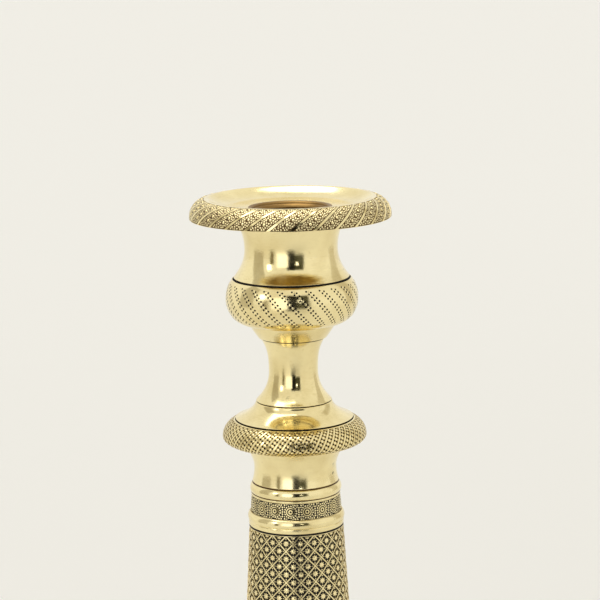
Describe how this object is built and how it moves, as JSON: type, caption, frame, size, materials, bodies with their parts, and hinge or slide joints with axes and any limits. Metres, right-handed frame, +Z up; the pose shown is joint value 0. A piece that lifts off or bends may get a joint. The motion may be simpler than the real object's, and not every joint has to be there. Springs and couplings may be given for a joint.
{
  "type": "candlestick",
  "caption": "Turned brass candlestick: engraved rings on a tapering column with a round domed foot, and a lift-out drip pan that carries the candle tube.",
  "frame": {"origin": "centre of the foot on the table", "axes": "+Z up along the candlestick's axis; X and Y are free because it is round"},
  "size_m": [0.13, 0.13, 0.272],
  "materials": {
    "polished_brass": "polished pale brass, dark patina left in the engraved grounds and joint lines",
    "engraved_brass": "engraved brass, bright on the raised pattern and black-brown in the ground",
    "iron": "dark wrought iron, lightly rusted"
  },
  "bodies": {
    "candlestick": {"nozzle_neck": "polished_brass", "nozzle_bulb": "polished_brass", "nozzle_waist": "polished_brass", "flange_disc": "polished_brass", "knurled_collar": "engraved_brass", "upper_neck": "polished_brass", "upper_bead_ring": "polished_brass", "upper_rosette_band": "engraved_brass", "upper_astragal": "polished_brass", "column_top_plug": "polished_brass", "column": "engraved_brass", "column_bottom_plug": "polished_brass", "lower_astragal": "polished_brass", "lower_rosette_band": "engraved_brass", "lower_bead_ring": "polished_brass", "base_neck": "polished_brass", "base_knurled_ring": "engraved_brass", "base": "polished_brass", "tie_rod": "iron", "tie_washer": "iron", "tie_nut": "iron"},
    "bobeche": {"drip_pan": "polished_brass", "candle_sleeve": "polished_brass"}
  },
  "joints": [
    {"name": "bobeche_lift", "type": "slide", "parent": "candlestick", "child": "bobeche", "axis": [0, 0, 1], "range_m": [0, 0.04]}
  ]
}
